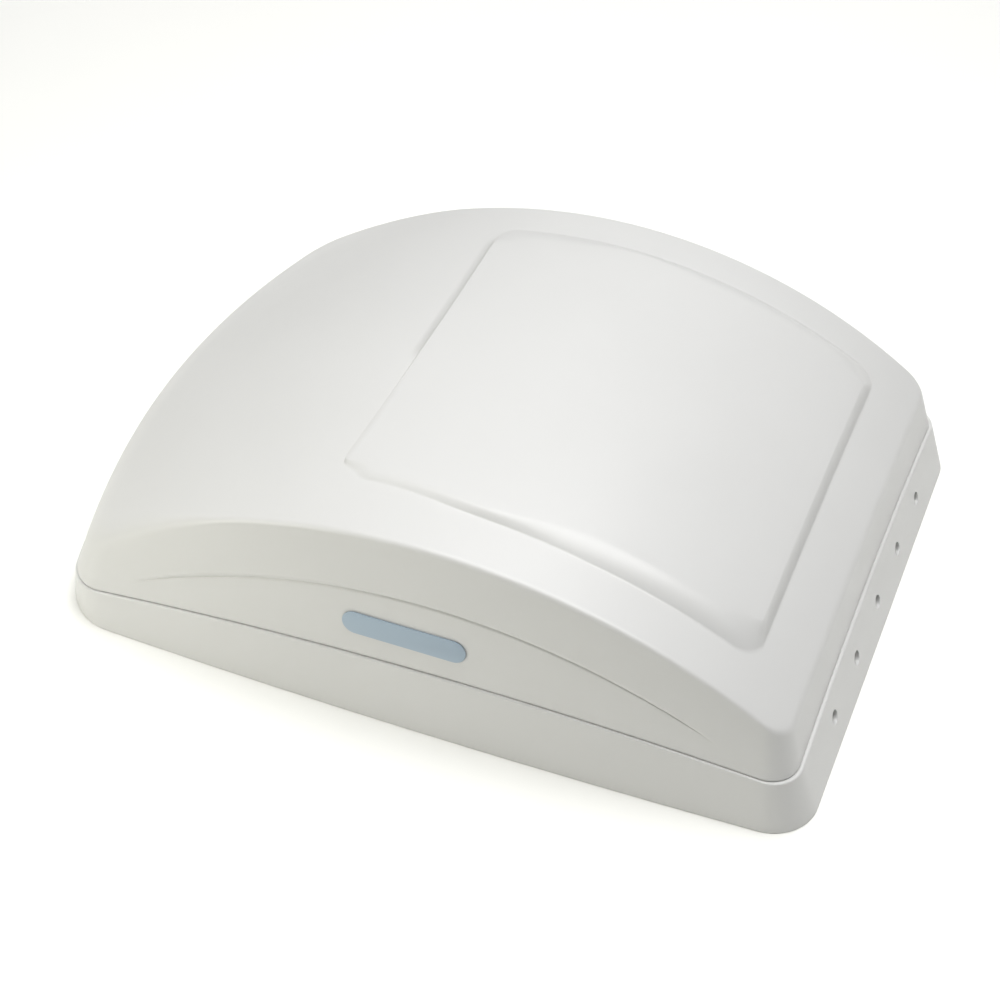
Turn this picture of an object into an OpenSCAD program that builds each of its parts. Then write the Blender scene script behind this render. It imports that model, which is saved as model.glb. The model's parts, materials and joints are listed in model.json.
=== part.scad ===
// Powered roof ventilator with a hinged rain lid.
// The origin is on the roof, under the middle of the outline. The nose is at -X, the upright end at +X.

/* [Outline] */
// Length from the nose corners to the upright end, at the roof
corner_length = 541; // [538:1:545]
// How far the nose bows out beyond its corners
nose_bow = 37; // [34:1:40]
// Width between the corners, at the roof
corner_width = 413; // [411:1:416]
// How far each long side bows out at its middle
side_bow = 6; // [5:0.5:8]
// Corner radius at the roof
corner_r = 31; // [28:1:34]

/* [Skirt] */
// Height of the seam at the nose
seam_nose_z = 26.5; // [26:0.5:28]
// Height of the seam at the middle of the long sides
seam_mid_z = 49; // [46:0.5:51]
// Height of the seam at the upright end's corners
seam_end_z = 37; // [36:0.5:38]
// Extra height of the seam at the middle of the upright end
seam_end_rise = 7; // [4:0.5:7]
// How far the long sides flare out from the top of the seam to the roof
side_flare = 8.7; // [8:0.1:9]
// How far the nose flares out
nose_flare = 7.4; // [7:0.1:8]
// How far the upright end flares out
end_flare = 16; // [15:0.5:16.5]
// Radius of the holes in the upright end
end_hole_r = 5; // [4:0.5:5]
// Distance between the holes in the upright end
end_hole_pitch = 57.5; // [55:0.5:60]

/* [Lid] */
// Height of the lid's crown above the roof, beside the raised panel
crown_z = 152.5; // [149:0.5:156]
// How far the lid's crown rises between its long edges
cross_crown = 9; // [6:0.5:10]
// Radius of the lid's arch
arch_r = 405; // [400:1:415]
// Height of the raised panel's step at the upright end
panel_step = 7.5; // [5:0.5:8]
// Wall of the lid and the skirt
wall = 2.4; // [2:0.1:2.5]
// How far the lid opens, in degrees
lid_open = 12; // [8:0.5:12]

/* [Fan] */
// Side of the square roof opening
throat = 356; // [355:1:357]
// Inner radius of the fan duct
duct_r = 155; // [153:0.5:156]
// Number of fan blades
blades = 10; // [6:1:12]

/* [Screws] */
// Radius of the holes for the roof screws
roof_hole_r = 2.75; // [2.5:0.05:3]

/* [Hidden] */
$fn = 48;

white = [0.91, 0.91, 0.89];
grey = [0.55, 0.56, 0.57];
steel = [0.72, 0.73, 0.75];
dark = [0.15, 0.15, 0.16];

// Outline. A flat layout (u, v) is a plain rounded rectangle; place() bows its sides and nose.
half_l = corner_length / 2;
half_w = corner_width / 2;
mid_x = nose_bow / 2;
side_n = 24;
end_n = 14;
corner_n = 6;

// Insets are given for the nose, the upright end and the long sides. Those of the skirt count from its outer
// face at the seam, and those of the lid's top from the outline at the roof.
flare = [nose_flare, end_flare, side_flare];
shoulder_r = 21;
ledge = [1, 2.4, 1.6];
lid_top_in = [19.6, 23.6, 18.6];
crease_w = half_w - lid_top_in[2];
curb_out = [for (w = ledge) w + wall + 0.6];
curb_in = [for (w = curb_out) w + wall];

// Deck, throat and clearances
deck_z = 16;
deck_t = 2.5;
deck_top = deck_z + deck_t;
flange_z = 3;
flange_t = 2;
fan_x = 70;
neck_t = 2;
fit = 0.02;
running = 0.06;
screw_r = 2;
screw_hole_r = 2.2;
low_head = [3.6, 1.5];

// Lid hinge and lift linkage, in the X-Z plane. The arm is as long as the pivot is far from the hinge,
// so the arm turns twice as far as the lid while its pin stays on one straight track through the hinge.
hinge_in = 25;
hinge_at = [-mid_x - half_l + hinge_in, 24];
lift_at = [-100, 44];
lid_gap = 0.5;
link = norm(lift_at - hinge_at);
link_tilt = atan2(lift_at[1] - hinge_at[1], lift_at[0] - hinge_at[0]);
track_start = 6;
track_tilt = link_tilt + track_start;
pin_far = 2 * link * cos(track_start);
pin_near = 2 * link * cos(track_start + lid_open);
arm_tilt = link_tilt + 2 * track_start;
arm_y = 181;
arm_t = 4;
track_y = 186.5;
track_t = 3;
pad_y = 193.5;
shaft_r = 5;
pin_r = 3;
hinge_pin_r = 2.5;
knuckle_r = 4.5;

// Worm gear
gear_module = 1.5;
wheel_teeth = 28;
worm_pitch_r = 7;
worm_pitch = PI * gear_module;
wheel_pitch_r = wheel_teeth * gear_module / 2;
worm_at = [lift_at[0] + wheel_pitch_r + worm_pitch_r, -135];
switch_at = [worm_at[0], 135];
worm_shaft_r = 4;

// Screw places on the deck, about the fan's axis
roof_holes_a = [188, 150];
roof_holes_b = [100, 187];
base_screws_at = [188, 60];
duct_screw_r = 163;
bracket_screw_r = 172;
button_r = 170;
screen_z = 7.3;
screen_t = 4;

// Feet of the brackets on the deck
bearing_y = 170;
foot_screw_x = 15;
foot_t = 4;
hinge_screw_x = hinge_at[0] + 20;
hinge_screw_y = [-40, 0, 40];
worm_foot = [6, 20];
feet_at = concat(
    [for (s = [-1, 1], e = [-1, 1]) [lift_at[0] + s * foot_screw_x, e * bearing_y]],
    [for (s = [-1, 1]) worm_at + [worm_foot[0], s * worm_foot[1]]],
    [for (y = hinge_screw_y) [hinge_screw_x, y]]);

function place(p) =
    let (u = p[0], v = p[1], left = min(u, 0) / half_l)
    [mid_x + u - nose_bow * left * left * (1 - pow(v / half_w, 2)),
     v * (1 + side_bow / half_w * (1 - pow(u / half_l, 2)))];

function arch_z(u) = crown_z - arch_r + sqrt(arch_r * arch_r - u * u);

// The lid's top: an arch along its length, slightly crowned across
function top_z(p) = arch_z(p[0]) + cross_crown * (1 - pow(p[1] / crease_w, 2));

function seam_z(p) =
    let (t = p[0] / half_l, ends = (seam_nose_z + seam_end_z) / 2)
    ends + (seam_end_z - seam_nose_z) / 2 * t + (seam_mid_z - ends) * (1 - t * t)
        + seam_end_rise * pow(max(t, 0), 6) * (1 - pow(p[1] / half_w, 2));

// The lid's edge stands this far above the ledge, because the nose swings down behind the hinge
function edge_gap(x) = lid_gap + max(0, hinge_at[0] - x) * tan(lid_open);

function smooth(e) = let (c = min(max(e, 0), 1)) c * c * (3 - 2 * c);

function arc(c, r, from) =
    [for (i = [0 : corner_n]) c + r * [cos(from + 90 * i / corner_n), sin(from + 90 * i / corner_n)]];

function between(p, q, n) = [for (i = [1 : n - 1]) p + (q - p) * i / n];

// Rounded rectangle in the flat layout: set in from the nose, the upright end and the long sides
function ring(nose_in, end_in, side_in, r) =
    let (lo = nose_in - half_l, hi = half_l - end_in, w = half_w - side_in)
    concat(
        arc([hi - r, r - w], r, -90), between([hi, r - w], [hi, w - r], end_n),
        arc([hi - r, w - r], r, 0), between([hi - r, w], [lo + r, w], side_n),
        arc([lo + r, w - r], r, 90), between([lo, w - r], [lo, r - w], end_n),
        arc([lo + r, r - w], r, 180), between([lo + r, -w], [hi - r, -w], side_n));

function inset(d) = ring(d, d, d, corner_r - d / 2);

// Height of the seam at each point round the outline
seam = [for (p = inset(0)) seam_z(p)];

// Ring on the skirt's leaning wall at the seam, set in further by three insets
function seam_ring(in) =
    let (
        cut = max(in) / 2,
        low = ring(in[0], in[1], in[2], corner_r - cut),
        high = ring(flare[0] + in[0], flare[1] + in[1], flare[2] + in[2], shoulder_r - cut))
    [for (i = [0 : len(low) - 1]) low[i] + (high[i] - low[i]) * seam[i] / seam_mid_z];

function at_seam(in, drop) = placed(seam_ring(in), [for (z = seam) z - drop]);

function at_level(flat, z) = placed(flat, [for (p = flat) z]);

function placed(flat, heights) = [for (i = [0 : len(flat) - 1]) concat(place(flat[i]), heights[i])];

// Triangles between rings of n points; ring k joins ring k + 1
function band(n, k, next) =
    [for (i = [0 : n - 1])
        let (j = (i + 1) % n, a = k * n + i, b = k * n + j, c = next * n + i, d = next * n + j)
        each [[a, c, b], [b, c, d]]];

// Closed loop of rings, as round a picture frame
module frame_of(rings) {
    n = len(rings[0]);
    m = len(rings);
    polyhedron([for (r = rings) each r], [for (k = [0 : m - 1]) each band(n, k, (k + 1) % m)], convexity = 8);
}

// Rings from one middle point to another, as over a dome's outside and back inside
module dome_of(rings, first, last) {
    n = len(rings[0]);
    m = len(rings);
    a = n * m;
    faces = concat(
        [for (k = [0 : m - 2]) each band(n, k, k + 1)],
        [for (i = [0 : n - 1]) [a, i, (i + 1) % n]],
        [for (i = [0 : n - 1]) [a + 1, (m - 1) * n + (i + 1) % n, (m - 1) * n + i]]);
    // These rings run outward from the middle, so each triangle is turned over to face out
    polyhedron(
        concat([for (r = rings) each r], [first, last]),
        [for (f = faces) [f[0], f[2], f[1]]],
        convexity = 8);
}

module outline(flat) {
    polygon([for (p = flat) place(p)]);
}

// Square with round corners on the fan's axis
module throat_square(side, r) {
    translate([fan_x, 0]) {
        square([side, side - 2 * r], center = true);
        square([side - 2 * r, side], center = true);
        for (sx = [-1, 1], sy = [-1, 1])
            translate([sx, sy] * (side / 2 - r))
                circle(r);
    }
}

module at_corners(p) {
    for (sx = [-1, 1], sy = [-1, 1])
        translate([fan_x + sx * p[0], sy * p[1]])
            children();
}

module around_fan(count, r, from = 0) {
    translate([fan_x, 0])
        for (i = [0 : count - 1])
            rotate(from + 360 * i / count)
                translate([r, 0])
                    children();
}

// Pan-head screw, head upwards, its head resting at z = 0
module screw(length, head_r = 4, head_t = 2.2) {
    cylinder(h = head_t, r = head_r);
    translate([0, 0, -length])
        cylinder(h = length + 0.5, r = screw_r);
}

// A bar along Y between two places, from exact cylinders
module along_y(at, from, to, r) {
    translate([at[0], from, at[1]])
        rotate([-90, 0, 0])
            cylinder(h = to - from, r = r);
}

// ---- Lid ----

lid_corner_r = 22;
lid_edge_r = 5;
crown_in = 1.6;
skin = 1.2 * wall;
panel_in = [188.5, 56.5, 54.5];
panel_corner_r = 17;
panel_mid_u = 60;
panel_slope = 10;
panel_low = 2.5;
panel_rise_from = -80;
panel_rise_over = 280;

function lid_ring(extra = 0) =
    ring(lid_top_in[0] + extra, lid_top_in[1] + extra, lid_top_in[2] + extra, lid_corner_r - extra / 2);

function lid_edge(extra) =
    let (flat = seam_ring([for (w = ledge) w + extra]))
    placed(flat, [for (i = [0 : len(flat) - 1]) seam[i] + edge_gap(place(flat[i])[0])]);

// The raised panel is lower towards the nose
function panel_z(u) =
    panel_low + (panel_step - panel_low) * smooth((u - panel_rise_from) / panel_rise_over);

function lid_top(flat, drop, raised = 0) =
    placed(flat, [for (p = flat) top_z(p) - drop + raised * panel_z(p[0])]);

function panel_ring(extra) =
    ring(panel_in[0] + extra, panel_in[1] + extra, panel_in[2] + extra, panel_corner_r);

function toward_middle(flat, f) =
    let (c = [panel_mid_u, 0])
    [for (p = flat) c + (p - c) * f];

function mixed(a, b, f) = [for (i = [0 : len(a) - 1]) a[i] + (b[i] - a[i]) * f];

module lid_shell() {
    steps = [0.12, 0.3, 0.55, 0.8];
    apron_steps = [0.75, 0.5, 0.25];
    edge = lid_ring(lid_edge_r);
    inner_panel = panel_ring(panel_slope + skin);
    outside = [
        for (f = steps) lid_top(toward_middle(panel_ring(panel_slope), f), 0, 1),
        lid_top(panel_ring(panel_slope), 0, 1),
        lid_top(panel_ring(panel_slope / 2), 0, 0.6),
        for (f = concat(1, apron_steps, 0)) lid_top(mixed(edge, panel_ring(0), f), 0),
        lid_top(lid_ring(crown_in), crown_in),
        lid_top(lid_ring(), lid_edge_r),
        lid_edge(0)];
    inside = [
        lid_edge(wall),
        lid_top(lid_ring(wall), lid_edge_r),
        lid_top(lid_ring(lid_edge_r + wall / 2), skin),
        for (f = [0.25, 0.5, 0.75]) lid_top(mixed(edge, panel_ring(skin), f), skin),
        lid_top(panel_ring(skin), skin),
        lid_top(inner_panel, skin, 1),
        for (f = [0.8, 0.55, 0.3, 0.12]) lid_top(toward_middle(inner_panel, f), skin, 1)];
    middle = place([panel_mid_u, 0]);
    middle_z = top_z([panel_mid_u, 0]) + panel_z(panel_mid_u);
    color(white)
        dome_of(concat(outside, inside), concat(middle, middle_z), concat(middle, middle_z - skin));
}

// Blank badge on the near long side
badge = [88, 18, 1.2];
badge_at = [9, 76];
badge_in = 12.5;
badge_tilt = 4.7;

module lid_badge() {
    flat = [badge_at[0] - mid_x, badge_in - half_w];
    color(grey)
        translate([badge_at[0], place(flat)[1] - 0.05, badge_at[1]])
            rotate([90 - badge_tilt, 0, 0])
                linear_extrude(badge[2]) {
                    square([badge[0] - badge[1], badge[1]], center = true);
                    for (s = [-1, 1])
                        translate([s * (badge[0] - badge[1]) / 2, 0])
                            circle(badge[1] / 2);
                }
}

// Everything drawn on the track's own line: x runs from the hinge along the track
module on_track_line(tilt = track_tilt) {
    translate([hinge_at[0], 0, hinge_at[1]])
        rotate([0, -tilt, 0])
            children();
}

slot_r = pin_r + 0.3;
track_end = 14;
track_h = 24;

module track(side) {
    near = pin_near - 2;
    far = pin_far + 2;
    color(dark)
        on_track_line()
            difference() {
                union() {
                    translate([near - track_end, side > 0 ? track_y : -track_y - track_t, -track_h / 2])
                        cube([far - near + 2 * track_end, track_t, track_h]);
                    for (x = [near - track_end, far + track_end - 8])
                        translate([x, side > 0 ? track_y : -pad_y, -track_h / 2])
                            cube([8, pad_y - track_y, track_h]);
                }
                for (x = [near, far])
                    translate([x, side * (track_y - 1), 0])
                        rotate([-90 * side, 0, 0])
                            cylinder(h = track_t + 2, r = slot_r);
                translate([near, side > 0 ? track_y - 1 : -track_y - track_t - 1, -slot_r])
                    cube([far - near, track_t + 2, 2 * slot_r]);
            }
}

module lid_track_left() { track(-1); }

module lid_track_right() { track(1); }

block_x = [hinge_at[0] + 9, hinge_at[0] + 38];
block_z = 52;
block_w = 100;
leaf_t = 3;
leaf_web = 4;
web_z = hinge_at[1] + 8;
gusset = 16;
gusset_t = 3;
gusset_y = [-45, -15, 18, 48];
lid_screw_x = hinge_at[0] + 26;
lid_screw_y = [-36, 0, 36];

// Height of the lid's underside over the ends of the hinge block, at a place along X: place() undone
function under_lid(x) =
    let (
        v = block_w / 2,
        bow = nose_bow * (1 - pow(v / half_w, 2)) / (half_l * half_l),
        u = (1 - sqrt(1 - 4 * bow * (x - mid_x))) / (2 * bow))
    top_z([u, v]) - skin;

module hinge_block() {
    clear = 1.5;
    screw_depth = 8;
    color(white)
        difference() {
            translate([0, block_w / 2, 0])
                rotate([90, 0, 0])
                    linear_extrude(block_w)
                        polygon([
                            [block_x[0], block_z], [block_x[1], block_z],
                            [block_x[1], under_lid(block_x[1]) - clear],
                            [block_x[0], under_lid(block_x[0]) - clear]]);
            for (y = lid_screw_y)
                translate([lid_screw_x, y, block_z - 1])
                    cylinder(h = screw_depth + 1, r = screw_r + fit);
        }
}

knuckle_gap = 0.5;
hinge_half = 51;
fixed_knuckles = [[-35, -21], [21, 35]];
moving_knuckles = [[-50, -36], [-20, 20], [36, 50]];

module lid_hinge_leaf() {
    x0 = hinge_at[0];
    color(white)
        difference() {
            union() {
                for (k = moving_knuckles) {
                    along_y(hinge_at, k[0] + knuckle_gap / 2, k[1] - knuckle_gap / 2, knuckle_r);
                    translate([x0, k[0] + knuckle_gap / 2, hinge_at[1]])
                        cube([leaf_web, k[1] - k[0] - knuckle_gap, web_z - hinge_at[1] + 1]);
                }
                translate([x0, -block_w / 2, web_z])
                    cube([leaf_web, block_w, block_z - web_z]);
                translate([x0, -block_w / 2, block_z - leaf_t])
                    cube([block_x[1] - x0, block_w, leaf_t]);
                for (y = gusset_y)
                    translate([x0 + leaf_web, y, block_z - leaf_t])
                        rotate([90, 0, 0])
                            linear_extrude(gusset_t)
                                polygon([[-1, -gusset], [-1, 1], [gusset, 1], [gusset, 0], [0, -gusset]]);
            }
            along_y(hinge_at, -hinge_half, hinge_half, hinge_pin_r + running);
            for (y = lid_screw_y)
                translate([lid_screw_x, y, block_z - leaf_t - 1])
                    cylinder(h = leaf_t + 2, r = screw_hole_r);
        }
}

module lid_screws() {
    color(steel)
        for (y = lid_screw_y)
            translate([lid_screw_x, y, block_z - leaf_t])
                mirror([0, 0, 1])
                    screw(leaf_t + 7);
}

// ---- Base ----

skirt_foot = 2.6;

module base_skirt() {
    color(white)
        difference() {
            frame_of([
                at_level(inset(0), 0), at_seam([0, 0, 0], 0), at_seam([for (w = curb_in) w - seal_w], 0),
                at_seam(curb_in, 0), at_level(seam_ring(curb_in), deck_top),
                at_level(seam_ring(curb_out), deck_top), at_seam(curb_out, wall),
                at_seam([skirt_foot, skirt_foot, skirt_foot], wall), at_level(inset(skirt_foot), 0)]);
            for (k = [-2 : 2])
                translate([mid_x + half_l - end_flare, k * end_hole_pitch, end_hole_z])
                    rotate([0, 90, 0])
                        cylinder(h = end_flare + 1, r = end_hole_r);
        }
}

end_hole_z = 23;
deck_lip = 1.5;
boss_r = 6;
side_boss_r = 5.4;
post_r = 5;
spigot_r = 2.5;
button_top_z = screen_z - 0.3;

module base_deck() {
    color(white)
        difference() {
            union() {
                translate([0, 0, deck_z])
                    linear_extrude(deck_t)
                        outline(seam_ring([for (w = curb_out) w - deck_lip]));
                translate([0, 0, flange_z + flange_t]) {
                    at_corners(roof_holes_a)
                        cylinder(h = deck_t + deck_z - flange_z - flange_t, r = boss_r);
                    at_corners(roof_holes_b)
                        cylinder(h = deck_t + deck_z - flange_z - flange_t, r = side_boss_r);
                    at_corners(base_screws_at)
                        cylinder(h = deck_t + deck_z - flange_z - flange_t, r = boss_r);
                }
                around_fan(4, button_r) {
                    translate([0, 0, button_top_z + 0.3])
                        cylinder(h = deck_top - button_top_z - 0.3, r = post_r);
                    translate([0, 0, button_top_z - 3.5])
                        cylinder(h = deck_top - button_top_z, r = spigot_r);
                }
            }
            translate([0, 0, flange_z]) {
                at_corners(roof_holes_a)
                    cylinder(h = deck_top, r = roof_hole_r);
                at_corners(roof_holes_b)
                    cylinder(h = deck_top, r = roof_hole_r);
                at_corners(base_screws_at)
                    cylinder(h = deck_top, r = screw_hole_r);
                translate([fan_x, 0, 0])
                    cylinder(h = deck_top, r = duct_r, $fn = 96);
                around_fan(6, duct_screw_r)
                    cylinder(h = deck_top, r = screw_hole_r);
                around_fan(4, bracket_screw_r, 45)
                    cylinder(h = deck_top, r = screw_hole_r);
                for (at = [worm_at, switch_at])
                    translate([at[0], at[1], 0])
                        cylinder(h = deck_top, r = worm_shaft_r + 1.5);
                for (at = feet_at)
                    translate([at[0], at[1], 0])
                        cylinder(h = deck_top, r = screw_hole_r);
            }
        }
}

flange_in = 14;

module roof_flange() {
    color(steel)
        difference() {
            union() {
                translate([0, 0, flange_z])
                    linear_extrude(flange_t)
                        outline(inset(flange_in));
                translate([0, 0, flange_z])
                    linear_extrude(deck_z - flange_z)
                        throat_square(throat + 2 * neck_t, 22);
            }
            translate([0, 0, flange_z - 1])
                linear_extrude(deck_z)
                    throat_square(throat, 20);
            translate([0, 0, flange_z - 1]) {
                at_corners(roof_holes_a)
                    cylinder(h = flange_t + 2, r = roof_hole_r);
                at_corners(roof_holes_b)
                    cylinder(h = flange_t + 2, r = roof_hole_r);
                at_corners(base_screws_at)
                    cylinder(h = flange_t + 2, r = screw_hole_r);
            }
        }
}

module flange_seal() {
    color(dark)
        linear_extrude(flange_z)
            difference() {
                outline(inset(flange_in + 2));
                throat_square(throat + 8, 24);
                at_corners(roof_holes_a)
                    circle(roof_hole_r + 1);
                at_corners(roof_holes_b)
                    circle(roof_hole_r + 1);
            }
}

module base_screws() {
    color(steel)
        at_corners(base_screws_at)
            translate([0, 0, deck_top])
                screw(deck_top - flange_z - 0.5);
}

seal_w = 1.8;

module lid_seal() {
    outer = seam_ring([for (w = curb_in) w - seal_w]);
    inner = seam_ring([for (w = curb_in) w - 0.1]);
    high = function (flat)
        placed(flat, [for (i = [0 : len(flat) - 1]) seam[i] + edge_gap(place(flat[i])[0]) + 0.8]);
    color(grey)
        frame_of([placed(outer, seam), high(outer), high(inner), placed(inner, seam)]);
}

bracket_plate_t = 2;
bracket_plate_x = [8, 28];
bracket_arm_x = [12, 24];

module hinge_bracket() {
    color(white)
        difference() {
            union() {
                translate([hinge_at[0] + bracket_plate_x[0], -block_w / 2, deck_top])
                    cube([bracket_plate_x[1] - bracket_plate_x[0], block_w, bracket_plate_t]);
                for (k = fixed_knuckles) {
                    along_y(hinge_at, k[0] + knuckle_gap / 2, k[1] - knuckle_gap / 2, knuckle_r);
                    translate([hinge_at[0], k[1] - knuckle_gap / 2, 0])
                        rotate([90, 0, 0])
                            linear_extrude(k[1] - k[0] - knuckle_gap)
                                polygon([
                                    [0, hinge_at[1] - knuckle_r + 0.5], [bracket_arm_x[0], deck_top],
                                    [bracket_arm_x[1], deck_top],
                                    [bracket_arm_x[1], deck_top + bracket_plate_t],
                                    [2, hinge_at[1] + knuckle_r - 0.5]]);
                }
            }
            along_y(hinge_at, -hinge_half, hinge_half, hinge_pin_r + fit);
            for (y = hinge_screw_y)
                translate([hinge_screw_x, y, deck_top - 1])
                    cylinder(h = bracket_plate_t + 2, r = screw_hole_r);
        }
}

module hinge_pin() {
    color(steel) {
        along_y(hinge_at, -hinge_half - 1, hinge_half + 1, hinge_pin_r);
        for (side = [-1, 1])
            along_y(hinge_at, side * (hinge_half + 1.5) - 1, side * (hinge_half + 1.5) + 1, knuckle_r - 0.5);
    }
}

bearing_half = [20, 6];
bearing_body = 9;

module shaft_bearing(side) {
    color(white)
        translate([lift_at[0], side * bearing_y, 0])
            difference() {
                union() {
                    translate([-bearing_half[0], -bearing_half[1], deck_top])
                        cube([2 * bearing_half[0], 2 * bearing_half[1], foot_t]);
                    translate([-bearing_body, -bearing_half[1], deck_top])
                        cube([2 * bearing_body, 2 * bearing_half[1], lift_at[1] - deck_top]);
                    along_y([0, lift_at[1]], -bearing_half[1], bearing_half[1], bearing_body);
                }
                along_y([0, lift_at[1]], -bearing_half[1] - 1, bearing_half[1] + 1, shaft_r + running);
                for (x = [-foot_screw_x, foot_screw_x])
                    translate([x, 0, deck_top - 1])
                        cylinder(h = foot_t + 2, r = screw_hole_r);
            }
}

module shaft_bearing_left() { shaft_bearing(-1); }

module shaft_bearing_right() { shaft_bearing(1); }

// Open frame that holds the worm upright
worm_top = 62;
worm_plate_t = 5;
worm_frame_w = 24;
worm_frame_x = [-10, 11, 16];
worm_foot_size = [26, 52];

module worm_bracket() {
    color(white)
        translate([worm_at[0], worm_at[1], 0])
            difference() {
                union() {
                    translate([worm_frame_x[0] - 2, -worm_foot_size[1] / 2, deck_top])
                        cube([worm_foot_size[0], worm_foot_size[1], worm_plate_t]);
                    translate([worm_frame_x[0], -worm_frame_w / 2, worm_top])
                        cube([worm_frame_x[2] - worm_frame_x[0], worm_frame_w, worm_plate_t]);
                    translate([worm_frame_x[1], -worm_frame_w / 2, deck_top])
                        cube([
                            worm_frame_x[2] - worm_frame_x[1], worm_frame_w,
                            worm_top - deck_top + worm_plate_t]);
                }
                translate([0, 0, deck_top - 1])
                    cylinder(h = worm_top, r = worm_shaft_r + running);
                for (s = [-1, 1])
                    translate([worm_foot[0], s * worm_foot[1], deck_top - 1])
                        cylinder(h = worm_plate_t + 2, r = screw_hole_r);
            }
}

// Screws of everything that stands on the deck: each list of places has its own foot thickness
module deck_screws() {
    color(steel) {
        for (i = [0 : len(feet_at) - 1]) {
            foot = i < 4 ? foot_t : i < 6 ? worm_plate_t : bracket_plate_t;
            translate([feet_at[i][0], feet_at[i][1], deck_top + foot])
                screw(foot + deck_t + 1.5);
        }
        around_fan(6, duct_screw_r)
            translate([0, 0, deck_top + duct_flange_t])
                screw(duct_flange_t + deck_t + 1.5);
    }
}

duct_wall = 2.5;
duct_flange_t = 2;
duct_flange_w = 13;
duct_top = 62;

module fan_duct() {
    color(white)
        difference() {
            translate([fan_x, 0, 0])
                rotate_extrude($fn = 96)
                    polygon([
                        [duct_r, deck_top], [duct_r + duct_flange_w, deck_top],
                        [duct_r + duct_flange_w, deck_top + duct_flange_t],
                        [duct_r + duct_wall, deck_top + duct_flange_t], [duct_r + duct_wall, duct_top - 3],
                        [duct_r + duct_wall + 2, duct_top - 3], [duct_r + duct_wall + 2, duct_top],
                        [duct_r, duct_top]]);
            around_fan(6, duct_screw_r)
                translate([0, 0, deck_top - 1])
                    cylinder(h = duct_flange_t + 2, r = screw_hole_r);
        }
}

spider_t = 3;
spider_z = deck_z - spider_t;
spider_hub_r = 38;
spider_reach = 178;
spider_arm_w = 14;
rib_h = 5;
rib_t = 3;
motor_screw_r = 24;

module motor_bracket() {
    color(grey)
        difference() {
            union() {
                translate([fan_x, 0, spider_z])
                    cylinder(h = spider_t, r = spider_hub_r);
                around_fan(4, 0, 45) {
                    translate([0, -spider_arm_w / 2, spider_z])
                        cube([spider_reach, spider_arm_w, spider_t]);
                    translate([spider_hub_r - 1, -rib_t / 2, spider_z])
                        cube([duct_r - spider_hub_r - 3, rib_t, spider_t + rib_h]);
                }
            }
            around_fan(4, bracket_screw_r, 45)
                translate([0, 0, spider_z - 1])
                    cylinder(h = spider_t + 2, r = screw_hole_r);
            around_fan(4, motor_screw_r, 0)
                translate([0, 0, spider_z - 1])
                    cylinder(h = spider_t + 2, r = screw_hole_r);
        }
}

module bracket_screws() {
    color(steel)
        around_fan(4, bracket_screw_r, 45)
            translate([0, 0, spider_z])
                mirror([0, 0, 1])
                    screw(spider_t + deck_t - 0.5, low_head[0], low_head[1]);
}

motor_r = 31;
motor_h = 32;
motor_shaft_r = 4;
rotor_hub = [36, 40];
rotor_z = [22, 54];
rotor_top_t = 4;

module fan_motor() {
    color(dark)
        difference() {
            translate([fan_x, 0, deck_z]) {
                cylinder(h = 3, r = rotor_hub[0] - 1);
                cylinder(h = motor_h - 3, r = motor_r);
                cylinder(h = motor_h, r = motor_r - 4);
            }
            translate([fan_x, 0, deck_z + 10])
                cylinder(h = motor_h, r = motor_shaft_r + running);
            around_fan(4, motor_screw_r, 0)
                translate([0, 0, deck_z - 1])
                    cylinder(h = 8, r = screw_r + fit);
        }
}

module motor_screws() {
    color(steel)
        around_fan(4, motor_screw_r, 0)
            translate([0, 0, spider_z])
                mirror([0, 0, 1])
                    screw(spider_t + 6, low_head[0], low_head[1]);
}

module motor_shaft() {
    color(steel)
        translate([fan_x, 0, deck_z + 11])
            cylinder(h = rotor_z[1] + 9 - deck_z - 11, r = motor_shaft_r);
}

blade_t = 2.2;
blade_pitch = 28;
blade_tip = duct_r - 5;
blade_z = 38;
blade_root = rotor_hub[1] - 2;
blade_edge = [[blade_root, 13], [blade_root + 40, 19], [blade_tip - 8, 26], [blade_tip - 1, 20]];

module fan_rotor() {
    color(white)
        difference() {
            union() {
                translate([fan_x, 0, rotor_z[0]])
                    cylinder(h = rotor_z[1] - rotor_z[0], r = rotor_hub[1]);
                around_fan(blades, 0)
                    translate([0, 0, blade_z])
                        rotate([blade_pitch, 0, 0])
                            translate([0, 0, -blade_t / 2])
                                linear_extrude(blade_t)
                                    polygon(concat(
                                        [for (p = blade_edge) [p[0], -p[1]]],
                                        [[blade_tip, 0]],
                                        [for (i = [len(blade_edge) - 1 : -1 : 0]) blade_edge[i]]));
            }
            translate([fan_x, 0, rotor_z[0] - 1])
                cylinder(h = rotor_z[1] - rotor_z[0] - rotor_top_t + 1, r = rotor_hub[0]);
            translate([fan_x, 0, rotor_z[0]])
                cylinder(h = rotor_z[1], r = motor_shaft_r + fit);
        }
}

module fan_nut() {
    color(steel)
        translate([fan_x, 0, rotor_z[1]])
            difference() {
                cylinder(h = 6, r = 8, $fn = 6);
                translate([0, 0, -1])
                    cylinder(h = 8, r = motor_shaft_r + fit);
            }
}

screen_half = 176;
screen_rim = 12;
screen_corner_r = 19;
knob_rim = 6;
notch_pad_r = 16;
mesh_pitch = 22;
mesh_wire = 1;

module screen_outline() {
    throat_square(2 * screen_half, 18);
}

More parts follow.
